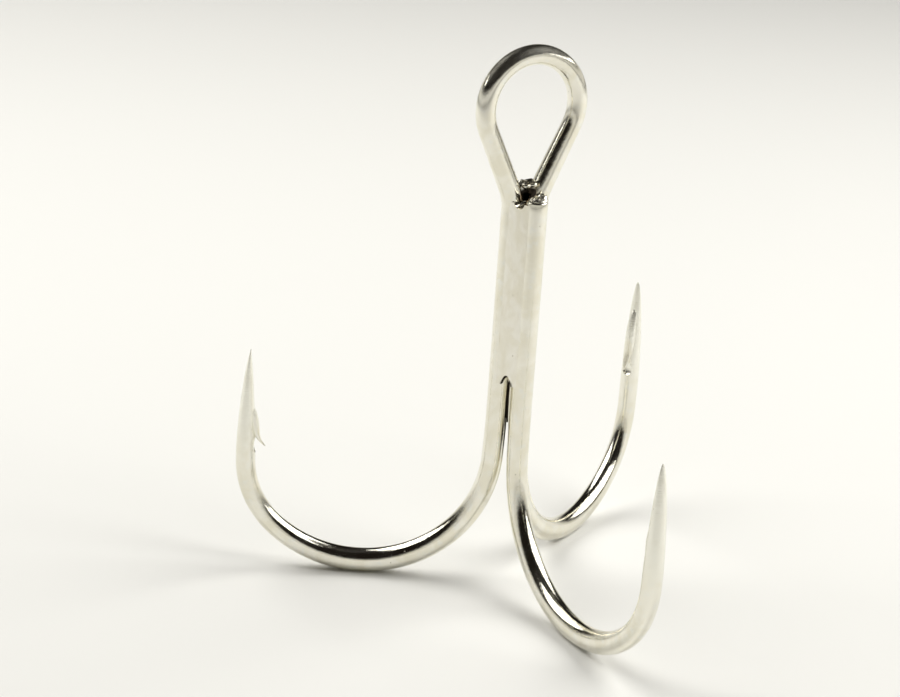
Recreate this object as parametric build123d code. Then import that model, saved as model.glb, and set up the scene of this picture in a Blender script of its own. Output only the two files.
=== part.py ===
from build123d import *
from math import asin, atan, ceil, cos, degrees, hypot, radians, sin, sqrt, tan
import os

# Treble hook: a double hook bent from one wire, whose middle forms the eye, and a single hook
# brazed into the front groove between its two legs.
# Millimetres. +Z runs up the shank to the eye. The eye lies in the XZ plane, and the origin is the
# centre of its round top. The single hook points to -Y, and the double hook's points stand 120
# degrees either side of it.

# Wire
WIRE_D = 1.6  # shanks of both hooks
EYE_WIRE_D = 1.47  # round the eye, where bending has drawn the wire thinner
WIRE_GAP = 0.4  # between any two of the three shank wires, filled with braze

# Eye, on the wire's centre line
EYE_R = 3.8
THROAT_DROP = 6.75  # from the eye's centre down to where its legs come together
THROAT_BEND_R = 4.0

# Hook bend, on the wire's centre line, as length or radius and turn in degrees
LEAD_DROP = 22.1  # from the eye's centre down to the start of the bend
LEAD_R = 115.0
LEAD_TURN = 2.45
HEEL_R = 9.69
HEEL_TURN = 130.7
FRONT_R = 7.1
FRONT_TURN = 45.65
LEFT_POINT_LEG = 8.87
SINGLE_POINT_LEG = 9.03
RIGHT_POINT_LEG = 10.49  # the right-hand point stands visibly higher than the other two

# Forged section: half sizes in the hook's plane and across it
BEND_DEPTH = 0.93
BEND_WIDTH = 0.83
LEG_DEPTH = 0.74
LEG_WIDTH = 0.73
POINT_TAPER = 6.75
POINT_POWER = 0.7
POINT_TIP_R = 0.04

# Barb, measured down from the point
BARB_START = 4.6
BARB_TIP = 7.6
BARB_ROOT = 6.8
BARB_HEIGHT = 0.85  # on the double hook
SINGLE_BARB_HEIGHT = 0.4  # the single hook's barb is barely raised
BARB_WIDTH = 0.7
BARB_SINK = 0.25  # how far its blade is rooted in the wire

# Single hook and braze
SINGLE_TOP_RISE = 1.17  # its cut end stands this far above where the eye's legs meet
LEFT_FILLET_REACH = -1.3  # each run of braze ends this far below the start of the bend
RIGHT_FILLET_REACH = 0.3
BACK_FILLET_REACH = 2.2
CORE_REACH = 1.6
FILLET_INSET = 0.06  # fillet edges stand this far inside the wires' common tangent plane
FILLET_HOLLOW = 0.1  # and their middle is hollowed by this much
BEAD_R = 1.3
BEAD_RISE = 2.1  # height of the throat bead above where the legs meet
BEAD_CHAMFER = 0.6

STATION_TURN = 9.0  # largest turn between neighbouring sections of a bend
STATION_LENGTH = 1.6  # longest run between neighbouring sections

# Directions of the three hooks about the shank's axis, in degrees
SINGLE_ANGLE = 270
LEFT_ANGLE = 150
RIGHT_ANGLE = 30

wire_r = WIRE_D / 2
half_chord = (WIRE_D + WIRE_GAP) / 2  # from the XZ plane's middle to either leg's centre line
shank_ring_r = half_chord / cos(radians(RIGHT_ANGLE))
eye_plane_y = shank_ring_r * sin(radians(RIGHT_ANGLE))  # from the shank's axis


def walk(moves, x, z, heading):
    """Stations (x, z, heading, distance) along runs and arcs given as (length, turn)."""
    stations = [(x, z, heading, 0.0)]
    travelled = 0.0
    for length, turn in moves:
        steps = ceil(max(abs(turn) / STATION_TURN, length / STATION_LENGTH))
        for _ in range(steps):
            half = radians(turn / steps / 2)
            chord = length / steps
            if turn:
                chord *= sin(half) / half
            middle = radians(heading) + half
            x += chord * cos(middle)
            z += chord * sin(middle)
            heading += turn / steps
            travelled += length / steps
            stations.append((x, z, heading, travelled))
    return stations


def section(station, depth, width):
    """Elliptical wire section, its depth in the path's plane and its width across it."""
    x, z, heading, _ = station
    tangent = (cos(radians(heading)), 0, sin(radians(heading)))
    normal = (sin(radians(heading)), 0, -cos(radians(heading)))
    return Wire.make_ellipse(depth, width, Plane((x, 0, z), x_dir=normal, z_dir=tangent))


def blend(value, stops):
    """Value of a broken line through (position, size) stops."""
    for (a, size_a), (b, size_b) in zip(stops, stops[1:]):
        if value <= b:
            return size_a + (size_b - size_a) * max(value - a, 0) / (b - a)
    return stops[-1][1]


def barb(tip_x, tip_z, height):
    """Sliver raised from the inner side of the point leg, aimed back down the leg."""
    inner = tip_x - LEG_DEPTH
    blade = Plane.XZ * Polygon(
        (inner + BARB_SINK, tip_z - BARB_START + BARB_SINK),
        (inner, tip_z - BARB_START),
        (inner - height, tip_z - BARB_TIP),
        (inner + BARB_SINK, tip_z - BARB_ROOT),
        align=None,
    )
    return extrude(blade, BARB_WIDTH / 2, both=True)


def hook(top_drop, angle, point_leg, barb_height):
    """One leg from top_drop down through its bend to the point, turned to its angle."""
    moves = [
        (LEAD_R * radians(LEAD_TURN), LEAD_TURN),
        (HEEL_R * radians(HEEL_TURN), HEEL_TURN),
        (FRONT_R * radians(FRONT_TURN), FRONT_TURN),
        (point_leg, 0),
    ]
    ends = [sum(length for length, _ in moves[: i + 1]) for i in range(len(moves))]
    depth_stops = [(0, wire_r), (ends[0], wire_r), (ends[1] * 0.6, BEND_DEPTH), (ends[2], LEG_DEPTH)]
    width_stops = [(0, wire_r), (ends[0], wire_r), (ends[1] * 0.6, BEND_WIDTH), (ends[2], LEG_WIDTH)]
    stations = walk(moves, shank_ring_r, -LEAD_DROP, -90)
    sections = []
    for station in stations:
        left = ends[-1] - station[3]
        taper = min(1, left / POINT_TAPER) ** POINT_POWER if left > POINT_TIP_R else 0
        depth = blend(station[3], depth_stops) * taper
        width = blend(station[3], width_stops) * taper
        sections.append(section(station, max(depth, POINT_TIP_R), max(width, POINT_TIP_R)))
    bend = Solid.make_loft(sections)
    shank = Pos(shank_ring_r, 0, -LEAD_DROP) * Cylinder(
        wire_r, LEAD_DROP - top_drop, align=(Align.CENTER, Align.CENTER, Align.MIN)
    )
    tip_x, tip_z = stations[-1][:2]
    return Rot(0, 0, angle) * (shank + bend + barb(tip_x, tip_z, barb_height))


def eye():
    """Teardrop eye, from the top of one leg round to the top of the other."""
    reach = hypot(half_chord, THROAT_DROP)
    lean = asin(EYE_R / reach) - atan(half_chord / THROAT_DROP)
    corner = THROAT_BEND_R * tan(lean / 2)
    straight = sqrt(reach**2 - EYE_R**2) - corner
    turn = degrees(lean)
    side = [(THROAT_BEND_R * lean, turn), (straight, 0)]
    top = (EYE_R * radians(180 + 2 * turn), -180 - 2 * turn)
    moves = side + [top] + side[::-1]
    total = sum(length for length, _ in moves)
    side_length = THROAT_BEND_R * lean + straight
    stops = [(0, wire_r), (side_length, EYE_WIRE_D / 2)]
    sections = []
    for station in walk(moves, -half_chord, -THROAT_DROP - corner, 90):
        radius = blend(min(station[3], total - station[3]), stops)
        sections.append(section(station, radius, radius))
    return Pos(0, eye_plane_y, 0) * Solid.make_loft(sections), THROAT_DROP + corner


def centre(angle):
    """A shank wire's centre on the section through the shank."""
    return Vector(shank_ring_r * cos(radians(angle)), shank_ring_r * sin(radians(angle)))


def braze(outline, reach, wires):
    """Filler metal with the given outline, from where the legs meet down, clear of the wires."""
    bottom_drop = LEAD_DROP + reach
    block = extrude(Pos(0, 0, -bottom_drop) * outline, bottom_drop - leg_top_drop)
    return block - wires


def fillet_outline(angle_a, angle_b):
    """Outline from two wires' centres out to a slightly hollow face between them."""
    a = centre(angle_a)
    b = centre(angle_b)
    outward = (a + b).normalized() * (wire_r - FILLET_INSET)
    hollow = (a + b) / 2 + outward - (a + b).normalized() * FILLET_HOLLOW
    edges = [Line(a, b), Line(b, b + outward), ThreePointArc(b + outward, hollow, a + outward)]
    return make_face(Curve() + edges + Line(a + outward, a))


eye_loop, leg_top_drop = eye()
left_leg = hook(leg_top_drop, LEFT_ANGLE, LEFT_POINT_LEG, BARB_HEIGHT)
right_leg = hook(leg_top_drop, RIGHT_ANGLE, RIGHT_POINT_LEG, BARB_HEIGHT)
double_hook = left_leg + eye_loop + right_leg
single_top_drop = leg_top_drop - SINGLE_TOP_RISE
single_hook = hook(single_top_drop, SINGLE_ANGLE, SINGLE_POINT_LEG, SINGLE_BARB_HEIGHT)
wires = double_hook + single_hook

core_outline = Polygon(centre(LEFT_ANGLE), centre(SINGLE_ANGLE), centre(RIGHT_ANGLE), align=None)
bead_blank = Pos(0, 0, -leg_top_drop) * Cylinder(
    BEAD_R, BEAD_RISE, align=(Align.CENTER, Align.CENTER, Align.MIN)
)
throat_bead = chamfer(bead_blank.edges().sort_by(Axis.Z)[-1], BEAD_CHAMFER) - wires

nodes = {
    "double_hook": double_hook,
    "single_hook": single_hook,
    "braze_left": braze(fillet_outline(LEFT_ANGLE, SINGLE_ANGLE), LEFT_FILLET_REACH, wires),
    "braze_right": braze(fillet_outline(SINGLE_ANGLE, RIGHT_ANGLE), RIGHT_FILLET_REACH, wires),
    "braze_back": braze(fillet_outline(RIGHT_ANGLE, LEFT_ANGLE), BACK_FILLET_REACH, wires),
    "braze_core": braze(core_outline, CORE_REACH, wires),
    "throat_bead": throat_bead,
}

os.makedirs("parts", exist_ok=True)
for name, shape in nodes.items():
    export_step(Pos(0, -eye_plane_y, 0) * shape, f"parts/{name}.step")
    print(name, len(shape.solids()), round(shape.volume, 3))
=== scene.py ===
"""Studio scene of a treble hook: two nickel-plated hook wires joined by brazing.

The sizes in the classes are millimetres in the hook's own frame: the shank runs up +Z to the eye,
the eye lies in the XZ plane round the origin, and the single hook points to -Y.
"""

import logging
import math
from collections.abc import Callable
from dataclasses import dataclass, field
from enum import Enum

import bmesh
import bpy
from mathutils import Matrix, Vector, noise
from mathutils.kdtree import KDTree

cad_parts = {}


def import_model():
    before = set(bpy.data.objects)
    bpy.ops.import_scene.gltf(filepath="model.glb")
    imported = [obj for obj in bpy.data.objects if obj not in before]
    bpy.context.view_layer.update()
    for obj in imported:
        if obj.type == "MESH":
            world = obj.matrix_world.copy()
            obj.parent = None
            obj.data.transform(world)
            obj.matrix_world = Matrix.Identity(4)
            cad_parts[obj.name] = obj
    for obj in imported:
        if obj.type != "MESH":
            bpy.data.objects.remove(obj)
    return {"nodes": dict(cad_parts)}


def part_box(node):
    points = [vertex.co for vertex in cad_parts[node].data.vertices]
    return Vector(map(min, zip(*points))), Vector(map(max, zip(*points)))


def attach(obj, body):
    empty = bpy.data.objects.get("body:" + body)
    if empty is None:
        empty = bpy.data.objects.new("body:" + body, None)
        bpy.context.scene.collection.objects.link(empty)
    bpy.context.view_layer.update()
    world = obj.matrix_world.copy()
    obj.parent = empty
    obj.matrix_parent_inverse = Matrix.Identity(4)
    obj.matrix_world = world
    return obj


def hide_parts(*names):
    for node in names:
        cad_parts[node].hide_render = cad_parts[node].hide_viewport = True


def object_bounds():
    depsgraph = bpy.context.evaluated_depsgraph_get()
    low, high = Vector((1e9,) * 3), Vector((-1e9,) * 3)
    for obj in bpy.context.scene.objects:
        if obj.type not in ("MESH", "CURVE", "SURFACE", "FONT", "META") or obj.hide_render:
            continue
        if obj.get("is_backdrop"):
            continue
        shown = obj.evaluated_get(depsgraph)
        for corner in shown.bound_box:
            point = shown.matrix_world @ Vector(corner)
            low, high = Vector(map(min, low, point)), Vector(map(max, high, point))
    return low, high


LOG = logging.getLogger("treble_hook")

Triple = tuple[float, float, float]
Colour = tuple[float, float, float, float]

MM = 0.001  # metres in a millimetre
RING_SIDES = 48  # a multiple of 12, so that rings turned by the hooks' angles still meet
SLANT = 0.3  # share of a point's offset along Y that wire_place adds to its offset along Z
FAR_OFF = 99.0  # distance from a point, in millimetres, that no finish reaches
BARB_CLEAR = 0.95  # further than this from a wire's centre line, only a raised barb is met
AT_END = 0.01  # a ring this near a bar's end keeps its true size, so that the bars meet
ACROSS = Vector((0.0, 1.0, 0.0))  # square to the XZ plane, in which every bar is drawn
NODE_SPACING = 190  # between neighbouring nodes of a material, as they are laid out
ROOT_BODY = "root"


class Slot(Enum):
    """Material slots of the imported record."""

    WIRE = "plated_wire"
    BRAZE = "plated_braze"


class Side(Enum):
    """Direction about the shank's axis in which each of the three hooks points, in degrees."""

    LEFT = 150.0
    RIGHT = 30.0
    SINGLE = 270.0


# ---------------------------------------------------------------- mesh helpers


def deselect_all() -> None:
    """Leaves object mode with nothing selected, so that an operator acts on new work only."""
    if bpy.context.object and bpy.context.object.mode != "OBJECT":
        bpy.ops.object.mode_set(mode="OBJECT")
    bpy.ops.object.select_all(action="DESELECT")


def make_active(piece: bpy.types.Object) -> None:
    """Selects one object alone and makes it the active one.

    Args:
        piece: the object.
    """
    deselect_all()
    piece.select_set(True)
    bpy.context.view_layer.objects.active = piece


def name_new(name: str) -> bpy.types.Object:
    """Names the object that a primitive operator has just made, and its mesh.

    Args:
        name: the name that both get.

    Returns:
        The new object.
    """
    piece = bpy.context.object
    piece.name = name
    piece.data.name = name
    return piece


def bake_place(piece: bpy.types.Object) -> None:
    """Moves an object's location, turn and scale into its mesh."""
    make_active(piece)
    bpy.ops.object.transform_apply(location=True, rotation=True, scale=True)


def apply_modifier(piece: bpy.types.Object, kind: str, **settings: object) -> None:
    """Adds one modifier, sets it and applies it.

    Args:
        piece: the object to change.
        kind: the modifier's type.
        settings: its properties by name.
    """
    make_active(piece)
    modifier = piece.modifiers.new(kind.title(), kind)
    for key, value in settings.items():
        setattr(modifier, key, value)
    bpy.ops.object.modifier_apply(modifier=modifier.name)


def combine(piece: bpy.types.Object, tool: bpy.types.Object, operation: str) -> None:
    """Adds or cuts one closed mesh with another, which is used up.

    Args:
        piece: the object that stays.
        tool: the object that is added or cut away.
        operation: UNION or DIFFERENCE.
    """
    apply_modifier(piece, "BOOLEAN", object=tool, operation=operation, solver="EXACT")
    bpy.data.objects.remove(tool, do_unlink=True)


def join(pieces: list[bpy.types.Object]) -> bpy.types.Object:
    """Joins objects into the first of them.

    Args:
        pieces: the objects, of which the first keeps its name.

    Returns:
        The joined object.
    """
    make_active(pieces[0])
    for piece in pieces:
        piece.select_set(True)
    bpy.ops.object.join()
    return bpy.context.object


def close_up(piece: bpy.types.Object, gap: float = 0.002) -> None:
    """Merges rings that meet and turns every face outwards.

    Args:
        piece: the object to clean.
        gap: points nearer than this many millimetres become one.
    """
    make_active(piece)
    bpy.ops.object.mode_set(mode="EDIT")
    bpy.ops.mesh.select_all(action="SELECT")
    bpy.ops.mesh.remove_doubles(threshold=gap * MM)
    bpy.ops.mesh.normals_make_consistent(inside=False)
    bpy.ops.object.mode_set(mode="OBJECT")


def smooth(piece: bpy.types.Object, sharp_angle: float = 40.0) -> None:
    """Shades an object smooth, except along edges sharper than the angle in degrees."""
    make_active(piece)
    bpy.ops.object.shade_smooth_by_angle(angle=math.radians(sharp_angle))


def select_points(piece: bpy.types.Object, wanted: Callable[[Vector], bool]) -> None:
    """In edit mode, selects the points whose place passes a test.

    Args:
        piece: the object being edited.
        wanted: says whether to take a point, given its place in millimetres.
    """
    mesh = bmesh.from_edit_mesh(piece.data)
    for face in mesh.faces:
        face.select = False
    for edge in mesh.edges:
        edge.select = False
    for point in mesh.verts:
        point.select = wanted(point.co / MM)
    mesh.select_mode = {"VERT"}
    mesh.select_flush_mode()
    bmesh.update_edit_mesh(piece.data)


@dataclass(frozen=True)
class Lump:
    """Rounded lump or scoop: its centre and half sizes, in millimetres."""

    name: str
    place: Triple
    size: Triple
    segments: int = 32
    ring_count: int = 20

    def build(self) -> bpy.types.Object:
        """Shapes the lump from a sphere.

        Returns:
            The lump.
        """
        deselect_all()
        bpy.ops.mesh.primitive_uv_sphere_add(segments=self.segments, ring_count=self.ring_count, radius=MM)
        lump = name_new(self.name)
        lump.scale = self.size
        lump.location = Vector(self.place) * MM
        bake_place(lump)
        return lump


def stand_in_place(piece: bpy.types.Object, angle: float, axis_y: float) -> None:
    """Turns a piece that is drawn in the XZ plane about the shank's axis, and moves it there.

    Args:
        piece: the object.
        angle: degrees from +X towards +Y.
        axis_y: place of the shank's axis, in millimetres.
    """
    piece.matrix_world = Matrix.Rotation(math.radians(angle), 4, "Z")
    bake_place(piece)
    piece.location = Vector((0.0, axis_y, 0.0)) * MM
    bake_place(piece)


def dress(piece: bpy.types.Object, finish: bpy.types.Material, node: str) -> None:
    """Gives a piece its finish and its place in the frame.

    Args:
        piece: the finished object.
        finish: its material.
        node: the CAD node that it stands for.
    """
    piece.data.materials.append(finish)
    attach(piece, ROOT_BODY)
    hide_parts(node)


# ---------------------------------------------------------------- wire


@dataclass(frozen=True)
class Stretch:
    """One stretch of a wire's centre line: a straight run, or an arc where it turns."""

    length: float
    turn: float = 0.0
    ring_gap: float = 0.5


@dataclass(frozen=True)
class Ring:
    """One section of a wire: its place in the XZ plane, its heading and its two half sizes."""

    x: float
    z: float
    heading: float
    run: float
    depth: float
    width: float

    @property
    def centre(self) -> Vector:
        """Centre of the ring in metres."""
        return Vector((self.x, 0.0, self.z)) * MM

    @property
    def inward(self) -> Vector:
        """Unit vector in the wire's plane, square to its run, on the left of a descending wire."""
        angle = math.radians(self.heading)
        return Vector((math.sin(angle), 0.0, -math.cos(angle)))


def walk(stretches: list[Stretch], x: float, z: float, heading: float) -> list[Ring]:
    """Follows a centre line and stops at every ring.

    Args:
        stretches: the runs and arcs, in order.
        x: start of the line across the shank.
        z: start of the line along the shank.
        heading: first direction, in degrees from +X towards +Z.

    Returns:
        The rings, with no size yet.
    """
    rings = [Ring(x, z, heading, 0.0, 0.0, 0.0)]
    run = 0.0
    for stretch in stretches:
        steps = max(1, math.ceil(stretch.length / stretch.ring_gap))
        half = math.radians(stretch.turn / steps / 2)
        chord = stretch.length / steps * (math.sin(half) / half if stretch.turn else 1.0)
        for _ in range(steps):
            middle = math.radians(heading) + half
            x += chord * math.cos(middle)
            z += chord * math.sin(middle)
            heading += stretch.turn / steps
            run += stretch.length / steps
            rings.append(Ring(x, z, heading, run, 0.0, 0.0))
    return rings


def blend(value: float, stops: list[tuple[float, float]]) -> float:
    """Height of a line drawn smoothly through (place, height) stops.

    Args:
        value: the place asked for.
        stops: places in rising order, each with its height.

    Returns:
        The height there, eased between neighbouring stops.
    """
    for (place_a, height_a), (place_b, height_b) in zip(stops, stops[1:]):
        if value <= place_b:
            share = max(0.0, value - place_a) / (place_b - place_a)
            eased = share * share * (3 - 2 * share)
            return height_a + (height_b - height_a) * eased
    return stops[-1][1]


def draw_bar(name: str, rings: list[Ring], sides: int = RING_SIDES, open_start: bool = False,
             open_end: bool = False) -> bpy.types.Object:
    """Draws a bar out of a circle, ring by ring, in the XZ plane.

    Args:
        name: name of the new object.
        rings: the sections to pass through, each with its sizes.
        sides: how many points a ring has.
        open_start: leaves the first ring open, to be joined to another bar.
        open_end: leaves the last ring open.

    Returns:
        The bar.
    """
    first = rings[0]
    deselect_all()
    bpy.ops.mesh.primitive_circle_add(
        vertices=sides, radius=MM, fill_type="NOTHING", location=first.centre,
        rotation=(0.0, math.radians(90.0 - first.heading), 0.0))
    bar = name_new(name)
    bake_place(bar)
    bpy.ops.object.mode_set(mode="EDIT")
    bpy.ops.mesh.select_all(action="SELECT")
    bpy.ops.transform.resize(value=(first.depth, first.width, first.depth), center_override=first.centre)
    if not open_start:
        bpy.ops.mesh.edge_face_add()
    for last, ring in zip(rings, rings[1:]):
        step = ring.centre - last.centre
        bpy.ops.mesh.extrude_region_move(TRANSFORM_OT_translate={"value": step})
        turn = ring.heading - last.heading
        if turn:
            bpy.ops.transform.rotate(
                value=math.radians(turn), orient_axis="Y", orient_type="GLOBAL",
                center_override=ring.centre)
        deeper = ring.depth / last.depth
        wider = ring.width / last.width
        bpy.ops.transform.resize(value=(deeper, wider, deeper), center_override=ring.centre)
    if open_start and not open_end:
        bpy.ops.mesh.edge_face_add()
    if not open_start and open_end:
        bpy.ops.mesh.delete(type="ONLY_FACE")
    bpy.ops.object.mode_set(mode="OBJECT")
    return bar


@dataclass
class WireForm:
    """Sizes that the wires share."""

    radius: float = 0.8
    gap: float = 0.4  # between any two of the three shank wires
    wander: float = 0.006  # share by which the drawn wire's size drifts along its run
    wander_length: float = 3.5

    @property
    def half_chord(self) -> float:
        """Half the distance between two shank wires' centres."""
        return self.radius + self.gap / 2

    @property
    def ring_radius(self) -> float:
        """Distance of a shank wire's centre from the shank's axis."""
        return self.half_chord / math.cos(math.radians(Side.RIGHT.value))

    @property
    def groove_depth(self) -> float:
        """Distance of the line between two shank wires' centres from the shank's axis."""
        return self.ring_radius * math.sin(math.radians(Side.RIGHT.value))

    @property
    def axis_y(self) -> float:
        """Place of the shank's axis, behind which the eye's plane lies."""
        return -self.groove_depth

    def drift(self, run: float, seed: float) -> float:
        """Factor on a section's size at a place along the wire, always the same for one seed."""
        place = Vector((run / self.wander_length, seed, 0.5))
        return 1.0 + self.wander * noise.noise(place)


@dataclass
class HookForm:
    """Sizes of one hook, from the start of its bend to its point."""

    wire: WireForm
    lead_drop: float = 22.1
    lead_radius: float = 115.0
    lead_turn: float = 2.45
    heel_radius: float = 9.69
    heel_turn: float = 130.7
    front_radius: float = 7.1
    front_turn: float = 45.65
    forged_share: float = 0.6  # how far round the heel the section is at its deepest
    bend_depth: float = 0.93
    bend_width: float = 0.83
    leg_depth: float = 0.74
    leg_width: float = 0.73
    taper: float = 8.4  # length ground down to the point
    taper_ease: float = 1.5
    taper_power: float = 0.776
    width_ease: float = 0.65  # the point keeps its width longer than its depth
    tip_radius: float = 0.035
    tip_lean: float = 0.3  # how far the ground point leans inwards
    fine_share: float = 0.15  # end of the ground point that gets closer rings

    def leg_face(self, point: Ring) -> float:
        """Inner face of the straight leg under a point, which is the hook's last ring."""
        return point.x - self.leg_depth + self.tip_lean

    def stretches(self, top_drop: float, leg: float) -> list[Stretch]:
        """Runs and arcs from the top of the leg to the point.

        Args:
            top_drop: how far below the eye's centre the wire starts.
            leg: length of the straight leg under the point.

        Returns:
            The stretches, in order.
        """
        return [
            Stretch(self.lead_drop - top_drop, ring_gap=0.8),
            Stretch(self.lead_radius * math.radians(self.lead_turn), self.lead_turn),
            Stretch(self.heel_radius * math.radians(self.heel_turn), self.heel_turn, ring_gap=0.4),
            Stretch(self.front_radius * math.radians(self.front_turn), self.front_turn, ring_gap=0.35),
            Stretch(leg - self.taper, ring_gap=0.2),
            Stretch(self.taper * (1.0 - self.fine_share), ring_gap=0.25),
            Stretch(self.taper * self.fine_share, ring_gap=0.08),
        ]

    def rings(self, top_drop: float, leg: float, seed: float) -> list[Ring]:
        """Sections of one hook, in the XZ plane, from the top down and round to the point.

        Args:
            top_drop: how far below the eye's centre the wire starts.
            leg: length of the straight leg under the point.
            seed: picks this wire's own drift.

        Returns:
            The rings.
        """
        stretches = self.stretches(top_drop, leg)
        ends = [sum(s.length for s in stretches[: i + 1]) for i in range(len(stretches))]
        forged = ends[1] + (ends[2] - ends[1]) * self.forged_share
        radius = self.wire.radius
        depths = [(0, radius), (ends[1], radius), (forged, self.bend_depth), (ends[3], self.leg_depth)]
        widths = [(0, radius), (ends[1], radius), (forged, self.bend_width), (ends[3], self.leg_width)]
        rings = []
        for ring in walk(stretches, self.wire.ring_radius, -top_drop, -90.0):
            left = ends[-1] - ring.run
            share = min(1.0, max(left, 0.0) / self.taper)
            taper = (1.0 - (1.0 - share) ** self.taper_ease) ** self.taper_power
            drift = self.wire.drift(ring.run, seed) if ring.run > 0 else 1.0
            depth = max(blend(ring.run, depths) * taper * drift, self.tip_radius)
            width = max(blend(ring.run, widths) * taper ** self.width_ease * drift, self.tip_radius)
            lean = -ring.inward * self.tip_lean * (1.0 - taper)
            rings.append(Ring(ring.x + lean.x, ring.z + lean.z, ring.heading, ring.run, depth, width))
        return rings


@dataclass(frozen=True)
class BarbStation:
    """One section of a barb's sliver, from its root to its tip."""

    down: float  # share of the sliver's length
    out: float  # millimetres above the leg's face
    thick: float  # shares of the sliver's full thickness and width
    wide: float


@dataclass
class Barb:
    """Sliver cut up from the inner side of the leg, aimed back down it."""

    start_drop: float = 4.2  # its root, below the point
    tip_drop: float = 7.7
    stand: float = 0.93  # of its tip above the leg
    thickness: float = 0.35
    width: float = 0.38
    cut_drop: float = 7.3
    cut_radius: float = 0.42
    cut_width: float = 1.6  # the chisel's bite is wider and taller than it is deep
    cut_height: float = 1.5
    cut_depth: float = 0.09
    cut_sink: float = 0.9  # share of the bite's radius by which its middle lies below cut_drop

    @property
    def spine(self) -> list[BarbStation]:
        """Sections of the sliver.

        Returns:
            The stations, from its root inside the leg to its raised tip.
        """
        return [
            BarbStation(0.0, -0.30, 0.30, 0.5),
            BarbStation(0.2, -0.12, 0.8, 0.85),
            BarbStation(0.38, 0.0, 1.0, 1.0),
            BarbStation(0.56, 0.08, 0.95, 1.0),
            BarbStation(0.70, 0.2, 0.72, 0.9),
            BarbStation(0.82, 0.4, 0.42, 0.7),
            BarbStation(0.92, 0.63, 0.22, 0.42),
            BarbStation(1.0, self.stand, 0.06, 0.1),
        ]

    def build(self, point: Ring, face: float, share: float = 1.0) -> bpy.types.Object:
        """Draws the sliver against a hook that lies in the XZ plane.

        Args:
            point: the hook's last ring, at its point.
            face: place of the leg's inner face.
            share: how much of its full height it stands up.

        Returns:
            The sliver.
        """
        reach = self.tip_drop - self.start_drop
        spine = self.spine
        places = [
            (face - (s.out * share if s.out > 0 else s.out), point.z - self.start_drop - s.down * reach)
            for s in spine
        ]
        rings = []
        for i, (x, z) in enumerate(places):
            ahead = places[min(i + 1, len(places) - 1)]
            behind = places[max(i - 1, 0)]
            heading = math.degrees(math.atan2(ahead[1] - behind[1], ahead[0] - behind[0]))
            depth = self.thickness * spine[i].thick
            rings.append(Ring(x, z, heading, 0.0, depth, self.width * spine[i].wide))
        sliver = draw_bar("barb", rings, sides=20)
        apply_modifier(sliver, "SUBSURF", levels=1, render_levels=1)
        close_up(sliver, gap=0.0005)
        return sliver

    def cut(self, point: Ring, face: float) -> bpy.types.Object:
        """Shapes the chisel's bite under the sliver, to be cut out of the leg.

        Args:
            point: the hook's last ring, at its point.
            face: place of the leg's inner face.

        Returns:
            The cutter.
        """
        radius = self.cut_radius
        place = (face + self.cut_depth - radius, 0.0, point.z - self.cut_drop - radius * self.cut_sink)
        size = (radius, radius * self.cut_width, radius * self.cut_height)
        return Lump("barb_bite", place, size, segments=24, ring_count=16).build()


@dataclass
class Eye:
    """Teardrop eye, which the middle of the double hook's wire forms."""

    wire: WireForm
    radius: float = 3.8
    throat_drop: float = 6.75
    throat_radius: float = 4.0
    wire_radius: float = 0.735

    @property
    def lean(self) -> float:
        """Angle by which the eye's sides lean outwards, in radians."""
        reach = math.hypot(self.wire.half_chord, self.throat_drop)
        return math.asin(self.radius / reach) - math.atan(self.wire.half_chord / self.throat_drop)

    @property
    def corner(self) -> float:
        """Length that the throat's bend takes off each side."""
        return self.throat_radius * math.tan(self.lean / 2)

    @property
    def leg_top(self) -> float:
        """How far below the eye's centre its bends meet the straight shank wires."""
        return self.throat_drop + self.corner

    def rings(self, seed: float) -> list[Ring]:
        """Sections of the eye in the XZ plane, from the top of the left leg round to the right.

        Args:
            seed: picks the drift of this stretch of the wire.

        Returns:
            The rings.
        """
        reach = math.hypot(self.wire.half_chord, self.throat_drop)
        straight = math.sqrt(reach**2 - self.radius**2) - self.corner
        turn = math.degrees(self.lean)
        bend = Stretch(self.throat_radius * self.lean, turn, ring_gap=0.3)
        side = Stretch(straight)
        top = Stretch(self.radius * math.radians(180 + 2 * turn), -180 - 2 * turn, ring_gap=0.22)
        stretches = [bend, side, top, side, bend]
        total = sum(stretch.length for stretch in stretches)
        sizes = [(0.0, self.wire.radius), (bend.length + side.length, self.wire_radius)]
        rings = []
        for ring in walk(stretches, -self.wire.half_chord, -self.leg_top, 90.0):
            end_distance = min(ring.run, total - ring.run)
            drift = self.wire.drift(ring.run, seed) if end_distance > AT_END else 1.0
            radius = blend(end_distance, sizes) * drift
            rings.append(Ring(ring.x, ring.z, ring.heading, ring.run, radius, radius))
        return rings


# Stations on a wire's centre line, each as (centre, crosswise vector, distance along the wire,
# distance from its ground point), the centre in metres and the distances in millimetres.
WireStations = list[tuple[Vector, Vector, float, float]]


def note_wire_places(piece: bpy.types.Object, line: WireStations) -> None:
    """Writes where each of a wire's points lies along the wire, for the finish to follow.

    The attribute wire_place holds the distance along the wire and the place across it, and
    from_point the distance from the nearer ground point, all in millimetres.

    Args:
        piece: the wire.
        line: its centre line.
    """
    search = WireLine(line)
    places, distances = [], []
    for vertex in piece.data.vertices:
        centre, crosswise, along, distance = search.nearest(vertex.co)
        offset = (vertex.co - centre) / MM
        if offset.length > BARB_CLEAR:
            distance = FAR_OFF
        places += [along, offset.dot(crosswise), offset.z + offset.y * SLANT]
        distances.append(distance)
    attributes = piece.data.attributes
    attributes.new("wire_place", "FLOAT_VECTOR", "POINT").data.foreach_set("vector", places)
    attributes.new("from_point", "FLOAT", "POINT").data.foreach_set("value", distances)


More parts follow.
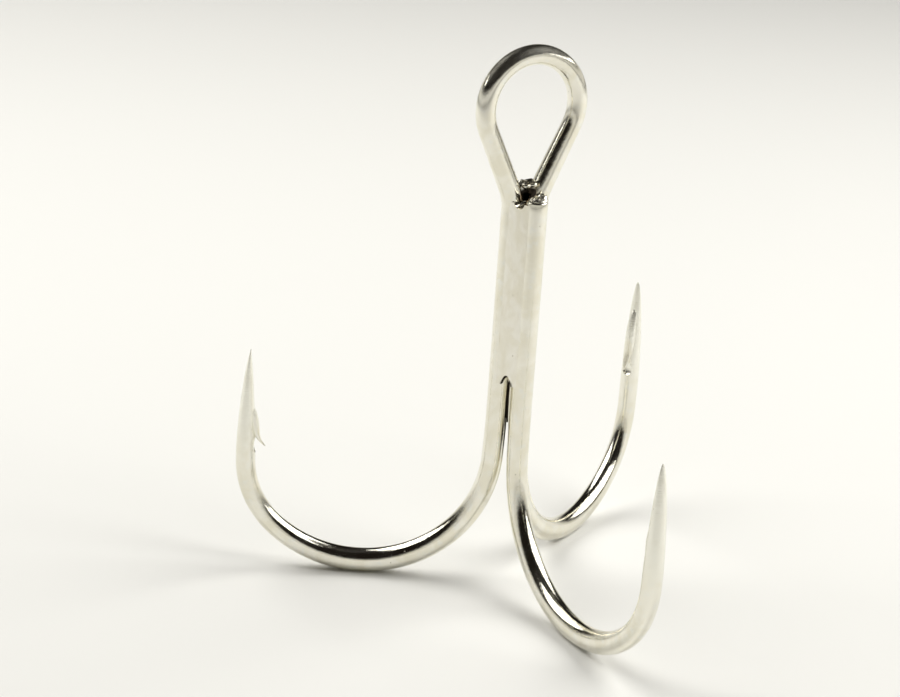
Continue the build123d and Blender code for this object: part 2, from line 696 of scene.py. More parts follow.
class WireLine:
    """Finds the nearest place on a centre line."""

    def __init__(self, line: WireStations) -> None:
        """Stores the line in a search tree.

        Args:
            line: its stations.
        """
        self.line = line
        self.tree = KDTree(len(line))
        for i, (centre, _, _, _) in enumerate(line):
            self.tree.insert(centre, i)
        self.tree.balance()

    def nearest(self, point: Vector) -> tuple[Vector, Vector, float, float]:
        """Foot of the point on the line, between its nearest ring and that ring's neighbours.

        Args:
            point: a place in metres.

        Returns:
            The foot, the crosswise vector, the distance along and the distance from a ground point.
        """
        _, i, _ = self.tree.find(point)
        best = None
        for a, b in ((i - 1, i), (i, i + 1)):
            if a < 0 or b >= len(self.line):
                continue
            start, end = self.line[a], self.line[b]
            step = end[0] - start[0]
            if step.length_squared == 0.0:
                continue
            share = min(1.0, max(0.0, (point - start[0]).dot(step) / step.length_squared))
            foot = start[0] + step * share
            away = (point - foot).length
            if best is None or away < best[0]:
                along = start[2] + (end[2] - start[2]) * share
                distance = start[3] + (end[3] - start[3]) * share
                best = (away, foot, start[1], along, distance)
        return best[1], best[2], best[3], best[4]


def place_line(rings: list[Ring], angle: float, shift: Vector, start: float = 0.0) -> WireStations:
    """Turns a hook's rings into a centre line in the frame.

    Args:
        rings: the hook's rings in the XZ plane, of which the last is its point.
        angle: the hook's direction about the shank's axis, in degrees.
        shift: where the shank's axis stands, in metres.
        start: distance along the wire at the first ring.

    Returns:
        The stations at the rings.
    """
    tip_run = rings[-1].run
    turn = Matrix.Rotation(math.radians(angle), 3, "Z")
    crosswise = turn @ ACROSS
    return [
        (turn @ ring.centre + shift, crosswise, start + ring.run, tip_run - ring.run)
        for ring in rings
    ]


@dataclass
class DoubleHook:
    """Two hooks and the eye, bent from one wire."""

    wire: WireForm
    form: HookForm
    eye: Eye
    barb: Barb
    right_barb: Barb
    left_leg: float = 8.87
    right_leg: float = 10.49
    left_seed: float = 1.7
    right_seed: float = 8.3
    eye_seed: float = 4.2
    name: str = "double_hook_wire"

    def build(self) -> bpy.types.Object:
        """Draws both legs and the eye, joins them into one wire and raises the barbs.

        Returns:
            The wire, in the frame's place.
        """
        top = self.eye.leg_top
        shift = Vector((0.0, self.wire.axis_y, 0.0)) * MM
        parts, tools, line = [], [], []
        for side, leg, barb, seed in (
            (Side.LEFT, self.left_leg, self.barb, self.left_seed),
            (Side.RIGHT, self.right_leg, self.right_barb, self.right_seed),
        ):
            rings = self.form.rings(top, leg, seed)
            face = self.form.leg_face(rings[-1])
            bar = draw_bar(f"{self.name}_{side.name}", rings, open_start=True)
            sliver = barb.build(rings[-1], face)
            bite = barb.cut(rings[-1], face)
            for part in (bar, sliver, bite):
                stand_in_place(part, side.value, self.wire.axis_y)
            parts.append(bar)
            tools.append((sliver, bite))
            line += place_line(rings, side.value, shift)
        eye_rings = self.eye.rings(self.eye_seed)
        loop = draw_bar(f"{self.name}_eye", eye_rings, open_start=True, open_end=True)
        line += [
            (ring.centre, ACROSS, -ring.run, FAR_OFF) for ring in eye_rings
        ]
        wire = join([parts[0], parts[1], loop])
        wire.name = self.name
        wire.data.name = self.name
        close_up(wire)
        for sliver, bite in tools:
            combine(wire, bite, "DIFFERENCE")
            combine(wire, sliver, "UNION")
        close_up(wire, gap=0.0005)
        note_wire_places(wire, line)
        smooth(wire)
        return wire


@dataclass
class SingleHook:
    """The third hook, whose cut end stands in the groove below the eye."""

    wire: WireForm
    form: HookForm
    barb: Barb
    leg_top: float
    top_rise: float = 1.17
    leg: float = 9.03
    seed: float = 5.5
    barb_share: float = 0.47  # height of this hook's barb against the others'
    end_round: float = 0.22  # how far the cut end's edge is rounded
    end_flatness: float = 0.9  # height of the rounding against a true quarter circle's
    end_rings: int = 5
    end_start: float = 0.001  # depth of the first ring's place under the cut
    end_clear: float = 0.1  # room under the rounding before the wire's own rings go on
    start_along: float = 60.0  # keeps this wire's drawn lines apart from the double hook's
    name: str = "single_hook_wire"

    def rounded_end(self, top: Ring) -> list[Ring]:
        """Sections over the cut end's rounded edge.

        Args:
            top: the straight wire's first ring.

        Returns:
            The rings, from the flat end down, each wider than the last.
        """
        rings = []
        for step in range(self.end_rings):
            angle = math.radians(90.0 * (step + 0.5) / self.end_rings)
            down = self.end_round * (1.0 - math.cos(angle)) + self.end_start
            inset = self.end_round * (1.0 - math.sin(angle))
            size = self.wire.radius - inset
            rings.append(Ring(top.x, top.z - down * self.end_flatness, -90.0, down, size, size))
        return rings

    def build(self) -> bpy.types.Object:
        """Draws the hook with its rounded cut end and raises its barb.

        Returns:
            The wire, in the frame's place.
        """
        rings = self.form.rings(self.leg_top - self.top_rise, self.leg, self.seed)
        rounded = self.rounded_end(rings[0])
        clear = rounded[-1].z - self.end_clear
        rings = rounded + [ring for ring in rings if ring.z < clear or ring.heading != -90.0]
        face = self.form.leg_face(rings[-1])
        hook = draw_bar(self.name, rings)
        sliver = self.barb.build(rings[-1], face, self.barb_share)
        bite = self.barb.cut(rings[-1], face)
        for part in (hook, sliver, bite):
            stand_in_place(part, Side.SINGLE.value, self.wire.axis_y)
        close_up(hook)
        combine(hook, bite, "DIFFERENCE")
        combine(hook, sliver, "UNION")
        close_up(hook, gap=0.0005)
        shift = Vector((0.0, self.wire.axis_y, 0.0)) * MM
        line = place_line(rings, Side.SINGLE.value, shift, self.start_along)
        note_wire_places(hook, line)
        smooth(hook)
        return hook


# ---------------------------------------------------------------- braze


@dataclass
class Tongue:
    """Thin tongue of filler that has run on down the slit between two wires."""

    length: float
    inset: float = 0.1  # of its middle, inside the line between the wires' centres
    depth_share: float = 0.8  # its half sizes, as shares of the gap between the wires
    width_share: float = 0.36
    aside_share: float = 0.22  # its shift towards one wire, which leaves a dark slit by the other
    end_share: float = 0.06  # share of its size that is left at its end
    end_power: int = 4  # how late it thins

    def build(self, wire: WireForm, top_drop: float, overlap: float) -> bpy.types.Object:
        """Draws the tongue in the XZ plane.

        Args:
            wire: sizes of the wires that it lies between.
            top_drop: how far below the eye's centre it starts.
            overlap: length of it that lies inside the run of braze.

        Returns:
            The tongue.
        """
        length = self.length + overlap
        rings = []
        for ring in walk([Stretch(length, ring_gap=0.3)], wire.groove_depth - self.inset, -top_drop, -90.0):
            thin = max(self.end_share, 1.0 - (ring.run / length) ** self.end_power)
            depth = wire.gap * self.depth_share * thin
            width = wire.gap * self.width_share * thin
            rings.append(Ring(ring.x, ring.z, ring.heading, ring.run, depth, width))
        bar = draw_bar("braze_tongue", rings, sides=24)
        bar.location = (0.0, wire.gap * self.aside_share * MM, 0.0)
        bake_place(bar)
        return bar


@dataclass
class BrazeRun:
    """Run of filler metal in the groove between two shank wires, with a nearly flat face."""

    wire: WireForm
    name: str
    node: str
    facing: float  # direction of its face about the shank's axis, in degrees
    top_drop: float
    seed: float
    face_inset: float = 0.005  # its face lies this far inside the wires' common tangent plane
    thickness: float = 0.62  # half its depth, before its face is flattened
    sink: float = 0.62  # share of the thickness by which its middle lies under the face
    half_width: float = 1.03
    face_band: float = 0.1  # points nearer the face than this, or outside it, are flattened
    flatness: float = 0.13
    ripple: float = 0.012
    ripple_length: float = 2.2
    side_ripple_length: float = 1.3
    hollow_depth: float = 0.9  # half sizes of the scoop that hollows an end
    hollow_width: float = 0.42
    lip: float = 0.9  # height of the hollow at its lower end
    lip_drop: float = 0.12  # how far the scoop's middle lies below that end
    top_lip: float = 0.0  # height of the hollow at its upper end
    top_lip_rise: float = 0.05
    tongue: Tongue | None = None

    def build(self) -> bpy.types.Object:
        """Draws the run down the groove, flattens its face and hollows its ends.

        Returns:
            The run, in the frame's place.
        """
        bottom_drop = -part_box(self.node)[0][2] / MM
        face = self.wire.groove_depth + self.wire.radius - self.face_inset
        middle = face - self.thickness * self.sink
        rings = []
        for ring in walk([Stretch(bottom_drop - self.top_drop, ring_gap=0.3)], middle, -self.top_drop, -90.0):
            drift = noise.noise(Vector((ring.run / self.ripple_length, self.seed, 0.0)))
            side_drift = noise.noise(Vector((ring.run / self.side_ripple_length, self.seed, 7.0)))
            rings.append(Ring(
                ring.x + drift * self.ripple, ring.z, ring.heading, ring.run,
                self.thickness, self.half_width * (1.0 + side_drift * self.ripple)))
        run = draw_bar(self.name, rings, sides=40)
        bpy.ops.object.mode_set(mode="EDIT")
        select_points(run, lambda place: place.x > face - self.face_band)
        bpy.ops.transform.resize(value=(self.flatness, 1.0, 1.0), center_override=(face * MM, 0.0, 0.0))
        bpy.ops.object.mode_set(mode="OBJECT")
        combine(run, self.hollow(face, bottom_drop + self.lip_drop, self.lip), "DIFFERENCE")
        if self.top_lip:
            combine(run, self.hollow(face, self.top_drop - self.top_lip_rise, self.top_lip), "DIFFERENCE")
        if self.tongue:
            combine(run, self.tongue.build(self.wire, bottom_drop - self.lip, self.lip), "UNION")
        stand_in_place(run, self.facing, self.wire.axis_y)
        close_up(run, gap=0.001)
        smooth(run)
        return run

    def hollow(self, face: float, drop: float, height: float) -> bpy.types.Object:
        """Rounded scoop that an end of the run is hollowed with.

        Args:
            face: place of the run's face.
            drop: how far below the eye's centre the scoop's middle lies.
            height: half its height.

        Returns:
            The scoop.
        """
        size = (self.hollow_depth, self.hollow_width, height)
        return Lump("braze_hollow", (face, 0.0, -drop), size).build()


@dataclass
class ThroatBead:
    """Blob of filler that ties the eye's legs to the single hook's cut end."""

    body: Lump = Lump("throat_solder", (0.0, -0.05, -6.55), (1.12, 0.56, 1.3))
    saddle: Lump = Lump("saddle_scoop", (0.0, 0.0, -4.5), (0.78, 2.2, 0.98))
    lumps: tuple[Lump, ...] = (
        Lump("floor", (0.0, -0.75, -7.75), (1.0, 1.0, 0.85)),
        Lump("end_cap", (0.1, -1.68, -6.52), (0.76, 0.74, 0.30)),
        Lump("web_bead_left", (-0.34, -0.60, -5.70), (0.31, 0.30, 0.22)),
        Lump("web_bead_right", (0.22, -0.62, -5.64), (0.35, 0.30, 0.22)),
        Lump("cap_bead_right", (0.40, -1.75, -6.32), (0.38, 0.42, 0.30)),
        Lump("cap_bead_left", (-0.18, -2.00, -6.42), (0.30, 0.28, 0.20)),
    )
    voxel: float = 0.045
    flow_steps: int = 14  # how long the lumps flow together

    def build(self) -> bpy.types.Object:
        """Scoops the saddle out of the body, piles up the lumps and lets them flow together.

        Returns:
            The bead, in the frame's place.
        """
        bead = self.body.build()
        combine(bead, self.saddle.build(), "DIFFERENCE")
        for lump in self.lumps:
            combine(bead, lump.build(), "UNION")
        apply_modifier(bead, "REMESH", mode="VOXEL", voxel_size=self.voxel * MM)
        apply_modifier(bead, "SMOOTH", factor=0.5, iterations=self.flow_steps)
        close_up(bead, gap=0.001)
        smooth(bead, sharp_angle=80.0)
        return bead


# ---------------------------------------------------------------- finishes


class NodeBench:
    """Lays out one material's nodes."""

    def __init__(self, name: str) -> None:
        """Starts an empty material.

        Args:
            name: the material's name.
        """
        self.material = bpy.data.materials.new(name)
        self.material.use_nodes = True
        self.tree = self.material.node_tree
        self.tree.nodes.clear()
        self.column = 0

    def add(self, kind: str, inputs: dict | None = None, **settings: object) -> bpy.types.Node:
        """Adds a node.

        Args:
            kind: the node's type, without its ShaderNode start.
            inputs: values or linked sockets for its inputs.
            settings: its properties by name.

        Returns:
            The node.
        """
        node = self.tree.nodes.new(f"ShaderNode{kind}")
        node.location = (self.column * NODE_SPACING, 0)
        self.column += 1
        for key, value in settings.items():
            setattr(node, key, value)
        for key, value in (inputs or {}).items():
            socket = node.inputs[key]
            if isinstance(value, bpy.types.NodeSocket):
                self.tree.links.new(value, socket)
            else:
                socket.default_value = value
        return node

    def attribute(self, name: str) -> bpy.types.Node:
        """Reads an attribute of the mesh."""
        return self.add("Attribute", attribute_name=name)

    def object_place(self, centre: Triple, scale: Triple) -> bpy.types.NodeSocket:
        """Place on the object, measured from a centre and scaled.

        Args:
            centre: in millimetres.
            scale: per millimetre.

        Returns:
            The vector socket.
        """
        place = self.add("TexCoord").outputs["Object"]
        scale_metres = [s / MM for s in scale]
        shift = [-c * MM * s for c, s in zip(centre, scale_metres)]
        mapping = self.add("Mapping", {"Vector": place, "Location": shift, "Scale": scale_metres})
        return mapping.outputs["Vector"]

    def glow_from(self, centre: Triple, scale: Triple) -> bpy.types.NodeSocket:
        """Value that falls from 1 at a centre, in millimetres, to 0 at the scaled distance 1."""
        place = self.object_place(centre, scale)
        return self.add("TexGradient", {"Vector": place}, gradient_type="SPHERICAL").outputs["Fac"]

    def noise(self, place: bpy.types.NodeSocket, scale: float, detail: float = 3.0,
              roughness: float = 0.5, warp: float = 0.0) -> bpy.types.NodeSocket:
        """Cloudy pattern.

        Args:
            place: where the pattern is read.
            scale: how close its clouds lie.
            detail: how many finer layers it has.
            roughness: how strong they are.
            warp: how far it is bent out of shape.

        Returns:
            A value between 0 and 1.
        """
        node = self.add("TexNoise", {"Vector": place, "Scale": scale, "Detail": detail,
                                     "Roughness": roughness, "Distortion": warp})
        return node.outputs["Fac"]

    def remap(self, value: bpy.types.NodeSocket, low: float, high: float, to_low: float = 0.0,
              to_high: float = 1.0) -> bpy.types.NodeSocket:
        """Eases a value from one range to another.

        Args:
            value: the value.
            low: start of its range.
            high: end of its range.
            to_low: what the start becomes.
            to_high: what the end becomes.

        Returns:
            The eased value.
        """
        node = self.add("MapRange", {"Value": value, "From Min": low, "From Max": high,
                                     "To Min": to_low, "To Max": to_high},
                        interpolation_type="SMOOTHSTEP")
        return node.outputs["Result"]

    def math(self, operation: str, a: object, b: object) -> bpy.types.NodeSocket:
        """Works out one sum."""
        return self.add("Math", {0: a, 1: b}, operation=operation).outputs["Value"]

    def mix(self, share: object, a: object, b: object, kind: str = "MIX") -> bpy.types.NodeSocket:
        """Mixes two colours.

        Args:
            share: how much of the second shows.
            a: first colour or socket.
            b: second colour or socket.
            kind: blend type.

        Returns:
            The mixed colour.
        """
        node = self.add("Mix", data_type="RGBA", blend_type=kind)
        for key, value in (("Factor_Float", share), ("A_Color", a), ("B_Color", b)):
            socket = next(s for s in node.inputs if s.identifier == key)
            if isinstance(value, bpy.types.NodeSocket):
                self.tree.links.new(value, socket)
            else:
                socket.default_value = value
        return next(s for s in node.outputs if s.identifier == "Result_Color")

    def pinholes(self, place: bpy.types.NodeSocket, scale: float, edge: tuple[float, float],
                 rarity: tuple[float, float]) -> bpy.types.NodeSocket:
        """Scatters round pinholes.

        Args:
            place: where the pattern is read.
            scale: how closely they lie.
            edge: distances from a hole's middle between which it ends.
            rarity: each hole has a chance value from 0 to 1, and shows once that passes these.

        Returns:
            1 inside a hole and 0 outside.
        """
        cells = self.add("TexVoronoi", {"Vector": place, "Scale": scale})
        near = self.remap(cells.outputs["Distance"], edge[0], edge[1], 1.0, 0.0)
        rare = self.remap(cells.outputs["Color"], rarity[0], rarity[1])
        return self.math("MULTIPLY", near, rare)

    def bump(self, height: bpy.types.NodeSocket, depth: float, strength: float,
             normal: bpy.types.NodeSocket | None = None) -> bpy.types.NodeSocket:
        """Raises a surface by a height pattern.

        Args:
            height: the pattern.
            depth: height of its full range, in millimetres.
            strength: share of it that shows.
            normal: a bump under this one.

        Returns:
            The normal.
        """
        inputs = {"Height": height, "Distance": depth * MM, "Strength": strength}
        if normal is not None:
            inputs["Normal"] = normal
        return self.add("Bump", inputs).outputs["Normal"]

    def finish(self, inputs: dict) -> bpy.types.Material:
        """Joins everything into the surface.

        Args:
            inputs: values or sockets of the Principled shader.

        Returns:
            The material.
        """
        shader = self.add("BsdfPrincipled", inputs)
        self.add("OutputMaterial", {"Surface": shader.outputs["BSDF"]})
        return self.material


@dataclass(frozen=True)
class WireFinish:
    """Bright plating over drawn wire, with points ground before plating."""

    name: str = "bright_nickel_plating"
    pale: Colour = (0.85, 0.83, 0.745, 1.0)
    warm: Colour = (0.78, 0.75, 0.635, 1.0)
    cool: Colour = (0.79, 0.80, 0.76, 1.0)
    pit: Colour = (0.22, 0.19, 0.15, 1.0)
    matt: Colour = (0.93, 0.92, 0.84, 1.0)
    # painted shade: a brown-black darkening of the wire in the crevice of the eye's throat
    painted_throat_shade: Colour = (0.16, 0.10, 0.045, 1.0)
    painted_throat_shade_centre: Triple = (-0.15, -0.55, -6.35)  # in the throat of the eye, where painted shade darkens the wire
    painted_throat_shade_scale: Triple = (0.95, 0.95, 0.85)
    # painted shade: near-black on the wires' inner sides, in the slits between them round the braze's lower
    # end
    painted_slit_shade: Colour = (0.030, 0.024, 0.018, 1.0)
    painted_slit_shade_centre: Triple = (0.0, -0.577, -23.5)  # between the wires, where the braze ends and painted shade darkens the slits
    painted_slit_shade_scale: Triple = (1.15, 1.15, 0.17)
    polished: float = 0.06
    dulled: float = 0.13
    ground: float = 0.25
    ground_length: float = 10.5
    ground_fade: float = 5.0
    ground_bare: float = 0.17  # how far the ground points lose the plating's mirror

    def material(self) -> bpy.types.Material:
        """Lays out the plating's nodes.

        Returns:
            The material.
        """
        bench = NodeBench(self.name)
        along = bench.attribute("wire_place").outputs["Vector"]
        from_point = bench.attribute("from_point").outputs["Fac"]
        place = bench.object_place((0, 0, 0), (1, 1, 1))
        drawn = bench.add("Mapping", {"Vector": along, "Scale": (0.16, 5.0, 5.0)}).outputs["Vector"]
        lines = bench.noise(drawn, 2.2, detail=4.0, roughness=0.6)
        blotch = bench.noise(place, 0.55, detail=4.0, roughness=0.6, warp=0.6)
        patch = bench.noise(place, 1.6, roughness=0.55)
        grain = bench.noise(place, 16.0, roughness=0.65)
        pits = bench.pinholes(place, 2.4, edge=(0.045, 0.11), rarity=(0.80, 0.84))
        ground = bench.remap(from_point, self.ground_length, self.ground_length - self.ground_fade)
        colour = bench.mix(bench.remap(blotch, 0.35, 0.65), self.warm, self.pale)
        colour = bench.mix(bench.remap(patch, 0.52, 0.72, 0.0, 0.6), colour, self.cool)
        colour = bench.mix(bench.math("MULTIPLY", ground, bench.remap(patch, 0.3, 0.7, 0.6, 1.0)),
                           colour, self.matt)
        colour = bench.mix(pits, colour, self.pit)
        # painted shade in the crevice of the eye's throat
        throat = bench.glow_from(self.painted_throat_shade_centre, self.painted_throat_shade_scale)
        colour = bench.mix(bench.remap(throat, 0.05, 0.42), colour, self.painted_throat_shade)
        # painted shade in the slits between the wires
        groove = bench.glow_from(self.painted_slit_shade_centre, self.painted_slit_shade_scale)
        colour = bench.mix(bench.remap(groove, 0.0, 0.35), colour, self.painted_slit_shade)
        rough = bench.remap(blotch, 0.3, 0.7, self.polished, self.dulled)
        rough = bench.math("ADD", rough, bench.math("MULTIPLY", lines, 0.08))
        wear = bench.math("MULTIPLY", ground, self.ground)
        rough = bench.math("MAXIMUM", rough, wear)
        rough = bench.math("ADD", rough, bench.math("MULTIPLY", pits, 0.3))
        cross = bench.add("Mapping", {"Vector": along, "Scale": (9.0, 0.7, 0.7)}).outputs["Vector"]
        strokes = bench.math("MULTIPLY", bench.noise(cross, 1.6, roughness=0.6), ground)
        normal = bench.bump(lines, 0.010, 0.45)
        normal = bench.bump(grain, 0.008, 0.5, normal)
        normal = bench.bump(strokes, 0.05, 0.4, normal)
        normal = bench.bump(patch, 0.05, 0.25, normal)
        normal = bench.bump(bench.math("SUBTRACT", 1.0, pits), 0.03, 0.8, normal)
        metal = bench.remap(ground, 0.0, 1.0, 1.0, 1.0 - self.ground_bare)
        return bench.finish({"Base Color": colour, "Metallic": metal, "Roughness": rough, "Normal": normal})


@dataclass(frozen=True)
class BrazeFinish:
    """Plating over brazed filler, which keeps the filler's ripples and pinholes."""

    name: str
    dulled: float
    tinge_share: float
    painted_shade_centre: Triple  # where painted shade blackens the filler, in hollows and deep between the wires
    painted_shade_reach: Triple
    relief: float = 1.0  # share of the ripples, grain and pinholes that shows
    pale: Colour = (0.84, 0.82, 0.745, 1.0)
    warm: Colour = (0.77, 0.74, 0.635, 1.0)
    brown: Colour = (0.34, 0.23, 0.09, 1.0)
    painted_shade: Colour = (0.022, 0.017, 0.013, 1.0)

    def material(self) -> bpy.types.Material:
        """Lays out the filler's nodes.

        Returns:
            The material.
        """
        bench = NodeBench(self.name)
        place = bench.object_place((0, 0, 0), (1, 1, 0.6))
        flow = bench.noise(place, 0.9, detail=4.0, roughness=0.55, warp=0.8)
        grain = bench.noise(place, 11.0, detail=4.0, roughness=0.65)
        ripples = bench.noise(place, 2.6)
        pinholes = bench.pinholes(place, 3.1, edge=(0.05, 0.12), rarity=(0.78, 0.82))
        colour = bench.mix(bench.remap(flow, 0.35, 0.65), self.warm, self.pale)
        tinge = bench.remap(ripples, 0.45, 0.75, 0.0, self.tinge_share)
        colour = bench.mix(tinge, colour, self.brown)
        # painted shade: blackens the filler near a given centre, in hollows and deep between the wires
        painted_shade_near = bench.glow_from(self.painted_shade_centre, tuple(1.0 / reach for reach in self.painted_shade_reach))
        colour = bench.mix(bench.remap(painted_shade_near, 0.0, 0.3), colour, self.painted_shade)
        colour = bench.mix(pinholes, colour, self.brown)
        rough = bench.remap(flow, 0.3, 0.7, self.dulled * 0.6, self.dulled)
        normal = bench.bump(ripples, 0.05 * self.relief, 0.5)
        normal = bench.bump(grain, 0.008 * self.relief, 0.5, normal)
        normal = bench.bump(bench.math("SUBTRACT", 1.0, pinholes), 0.04 * self.relief, 0.8, normal)
        return bench.finish({"Base Color": colour, "Metallic": 1.0, "Roughness": rough, "Normal": normal})


@dataclass(frozen=True)
class PaperFinish:
    """Matt paper, clouded between two close tones."""

    name: str = "pale_paper"
    tone: Colour = (0.81, 0.81, 0.795, 1.0)
    shade: Colour = (0.78, 0.78, 0.765, 1.0)

    def material(self) -> bpy.types.Material:
        """Lays out the paper's nodes.

        Returns:
            The material.
        """
        bench = NodeBench(self.name)
        place = bench.object_place((0, 0, 0), (0.01, 0.01, 0.01))
        colour = bench.mix(bench.noise(place, 1.0), self.tone, self.shade)
        return bench.finish({"Base Color": colour, "Roughness": 0.9})


# ---------------------------------------------------------------- studio


@dataclass
class Softbox:
    """One large soft lamp, placed by its direction from the hook."""

    name: str
    bearing: float  # degrees to the right of the way the camera looks
    elevation: float
    width: float  # metres
    height: float
    power: float
    distance: float = 0.32
    colour: Triple = (1.0, 0.985, 0.94)

    def place(self, view_bearing: float, middle: Vector) -> None:
        """Hangs the lamp and turns it to the hook.

        Args:
            view_bearing: azimuth of the camera, in degrees.
            middle: what the lamp faces, in metres.
        """
        angle = math.radians(view_bearing - self.bearing)
        rise = math.radians(self.elevation)
        way = Vector((-math.sin(angle) * math.cos(rise), math.cos(angle) * math.cos(rise), math.sin(rise)))
        deselect_all()
        bpy.ops.object.light_add(type="AREA", location=middle + way * self.distance)
        lamp = bpy.context.object
        lamp.name = self.name
        lamp.data.shape = "RECTANGLE"
        lamp.data.size = self.width
        lamp.data.size_y = self.height
        lamp.data.energy = self.power
        lamp.data.color = self.colour
        lamp.rotation_euler = way.to_track_quat("Z", "Y").to_euler()


@dataclass
class Studio:
    """Pale floor, soft lamps, surroundings and the camera."""

    azimuth: float = -30.111  # 0 looks along +Y, 90 along -X
    elevation: float = 20.215
    roll: float = 3.882
    distance: float = 169.73
    lens: float = 93.687
    target: Triple = (-6.055, -1.109, -17.35)
    floor_size: float = 1.2  # metres
    flag_radius: float = 0.017
    flag_rise: float = 0.0045  # above the top of the hook
    black: Colour = (0.012, 0.010, 0.009, 1.0)
    room_low: Colour = (0.74, 0.725, 0.67, 1.0)
    room_high: Colour = (0.010, 0.008, 0.006, 1.0)
    room_levels: tuple[float, float] = (0.11, 0.25)  # heights between which one turns into the other
    softboxes: list[Softbox] = field(default_factory=lambda: [
        Softbox("softbox_left", bearing=-65.0, elevation=46.0, width=0.28, height=0.23, power=0.95),
        Softbox("softbox_right", bearing=82.0, elevation=43.0, width=0.34, height=0.28, power=1.25),
    ])

    def camera(self) -> None:
        """Sets up the camera."""
        rise, turn, roll = (math.radians(a) for a in (self.elevation, self.azimuth, self.roll))
        forward = Vector((0.0, math.cos(rise), -math.sin(rise)))
        right = Vector((1.0, 0.0, 0.0))
        up = right.cross(forward)
        across = right * math.cos(roll) + up * math.sin(roll)
        upward = up * math.cos(roll) - right * math.sin(roll)
        spin = Matrix.Rotation(turn, 3, "Z")
        axes = Matrix([spin @ across, spin @ upward, spin @ -forward]).transposed()
        place = (Vector(self.target) - (spin @ forward) * self.distance) * MM
        data = bpy.data.cameras.new("camera")
        data.lens = self.lens
        data.sensor_width = 36.0
        data.clip_start = 0.005
        data.clip_end = 20.0
        camera = bpy.data.objects.new("camera", data)
        camera.matrix_world = Matrix.Translation(place) @ axes.to_4x4()
        bpy.context.scene.collection.objects.link(camera)
        bpy.context.scene.camera = camera

    def floor(self, height: float) -> None:
        """Lays the floor under the hook.

        Args:
            height: level of the lowest point of the hook, in metres.
        """
        deselect_all()
        bpy.ops.mesh.primitive_plane_add(size=self.floor_size, location=(0.0, 0.0, height))
        sheet = name_new("paper_floor")
        bake_place(sheet)
        sheet.data.materials.append(PaperFinish().material())
        sheet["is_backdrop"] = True

    def flag(self, top: float) -> None:
        """Hangs a black card over the eye, which only the plating mirrors.

        Args:
            top: level of the highest point of the hook, in metres.
        """
        deselect_all()
        bpy.ops.mesh.primitive_circle_add(
            vertices=64, radius=self.flag_radius, fill_type="NGON",
            location=(0.0, 0.0, top + self.flag_rise))
        card = name_new("black_card")
        bake_place(card)
        card.data.materials.append(PaperFinish("black_card", self.black, self.black).material())
        for sense in ("camera", "shadow", "diffuse", "transmission"):
            setattr(card, f"visible_{sense}", False)
        card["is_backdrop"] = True

    def surroundings(self) -> None:
        """Makes the room: pale low down, dark above, where only the softboxes are bright."""
        world = bpy.data.worlds.new("studio_room")
        bpy.context.scene.world = world
        world.use_nodes = True
        tree = world.node_tree
        tree.nodes.clear()
        where = tree.nodes.new("ShaderNodeTexCoord")
        split = tree.nodes.new("ShaderNodeSeparateXYZ")
        ramp = tree.nodes.new("ShaderNodeValToRGB")
        glow = tree.nodes.new("ShaderNodeBackground")
        out = tree.nodes.new("ShaderNodeOutputWorld")
        stops = ramp.color_ramp.elements
        for stop, level, tone in zip(stops, self.room_levels, (self.room_low, self.room_high)):
            stop.position = level
            stop.color = tone
        tree.links.new(where.outputs["Generated"], split.inputs[0])
        tree.links.new(split.outputs["Z"], ramp.inputs["Fac"])
        tree.links.new(ramp.outputs["Color"], glow.inputs["Color"])
        tree.links.new(glow.outputs[0], out.inputs["Surface"])

    def build(self, floor_height: float, top: float) -> None:
        """Sets up everything round the hook.

        Args:
            floor_height: level of the floor, in metres.
            top: level of the highest point of the hook, in metres.
        """
        self.camera()
        self.floor(floor_height)
        self.flag(top)
        self.surroundings()
        for softbox in self.softboxes:
            softbox.place(self.azimuth, Vector(self.target) * MM)
        view = bpy.context.scene.view_settings
        view.view_transform = "Standard"
        view.look = "None"


# ---------------------------------------------------------------- assembly


def report(piece: bpy.types.Object) -> None:
    """Logs one finished piece with its extent in millimetres.

    Args:
        piece: the piece.
    """
    corners = [piece.matrix_world @ Vector(corner) for corner in piece.bound_box]
    low = [min(c[i] for c in corners) / MM for i in range(3)]
    high = [max(c[i] for c in corners) / MM for i in range(3)]
    LOG.info("%s: %d faces, %s to %s", piece.name, len(piece.data.polygons),
             [round(v, 2) for v in low], [round(v, 2) for v in high])


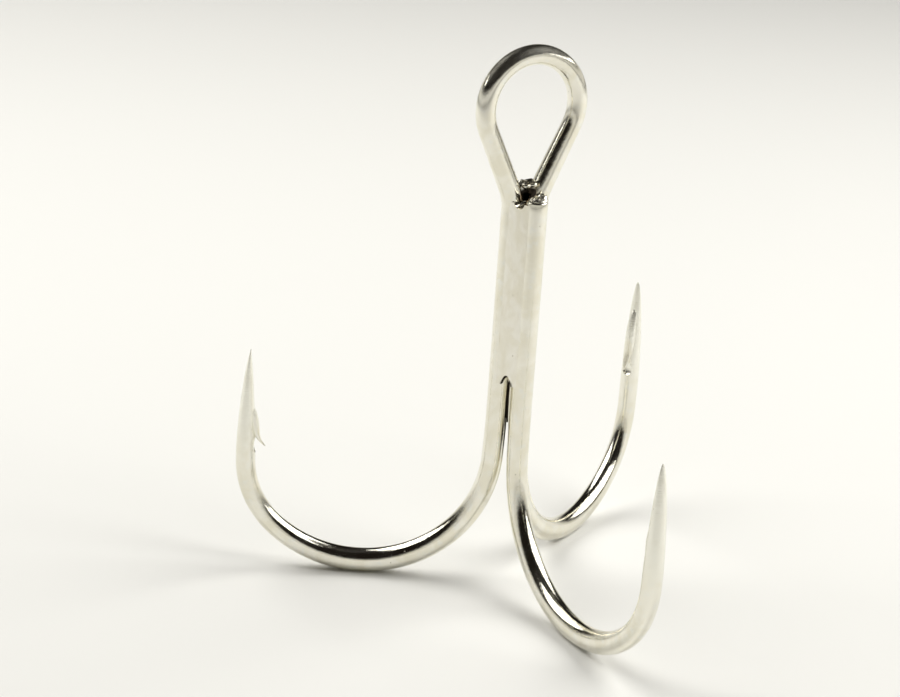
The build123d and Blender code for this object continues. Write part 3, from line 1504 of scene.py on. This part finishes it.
def main() -> None:
    """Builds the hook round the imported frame, in order, then the studio."""
    logging.basicConfig(level=logging.INFO, format="%(name)s %(message)s")
    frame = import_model()
    cad_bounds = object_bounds()
    LOG.info("frame has %d nodes", len(frame["nodes"]))
    wire = WireForm()
    form = HookForm(wire)
    barb = Barb()
    eye = Eye(wire)
    plating = WireFinish().material()
    # painted shade darkens the hollow under the left run's lower end, where its edge stands off the wire
    filler = BrazeFinish(
        "plated_filler", dulled=0.20, tinge_share=0.06,
        painted_shade_centre=(-1.1, -1.25, -20.8), painted_shade_reach=(0.6, 0.6, 0.6)).material()
    # painted shade darkens the throat's hollow between the web and the single hook's cut end
    throat_filler = BrazeFinish(
        "plated_throat_filler", dulled=0.24, tinge_share=0.6,
        painted_shade_centre=(-0.05, -0.60, -6.45), painted_shade_reach=(1.0, 0.85, 0.72), relief=0.06).material()
    # the core: brown flux tint, with painted shade blackening most of it deep between the wires
    core_filler = BrazeFinish(
        "fluxed_filler_with_painted_shade", dulled=0.5, tinge_share=0.9,
        painted_shade_centre=(0.0, -0.577, -22.0), painted_shade_reach=(6.0, 6.0, 12.0)).material()

    right_barb = Barb(start_drop=2.2, tip_drop=7.3, stand=0.75, width=0.42, cut_drop=6.9)
    wire_piece = DoubleHook(wire, form, eye, barb, right_barb).build()
    dress(wire_piece, plating, "double_hook")
    report(wire_piece)

    hook_piece = SingleHook(wire, form, barb, eye.leg_top).build()
    dress(hook_piece, plating, "single_hook")
    report(hook_piece)

    for run in (
        BrazeRun(wire, "braze_run_left", "braze_left", facing=210.0, top_drop=6.8, seed=2.0,
                 top_lip=0.45, tongue=Tongue(4.2)),
        BrazeRun(wire, "braze_run_right", "braze_right", facing=330.0, top_drop=7.0, seed=5.0),
        BrazeRun(wire, "braze_run_back", "braze_back", facing=90.0, top_drop=7.3, seed=9.0),
    ):
        run_piece = run.build()
        dress(run_piece, filler, run.node)
        report(run_piece)

    bead_piece = ThroatBead().build()
    dress(bead_piece, throat_filler, "throat_bead")
    report(bead_piece)

    core = frame["nodes"]["braze_core"]
    core.data.materials.clear()
    core.data.materials.append(core_filler)

    Studio().build(cad_bounds[0][2], cad_bounds[1][2])


if __name__ == "__main__":
    main()
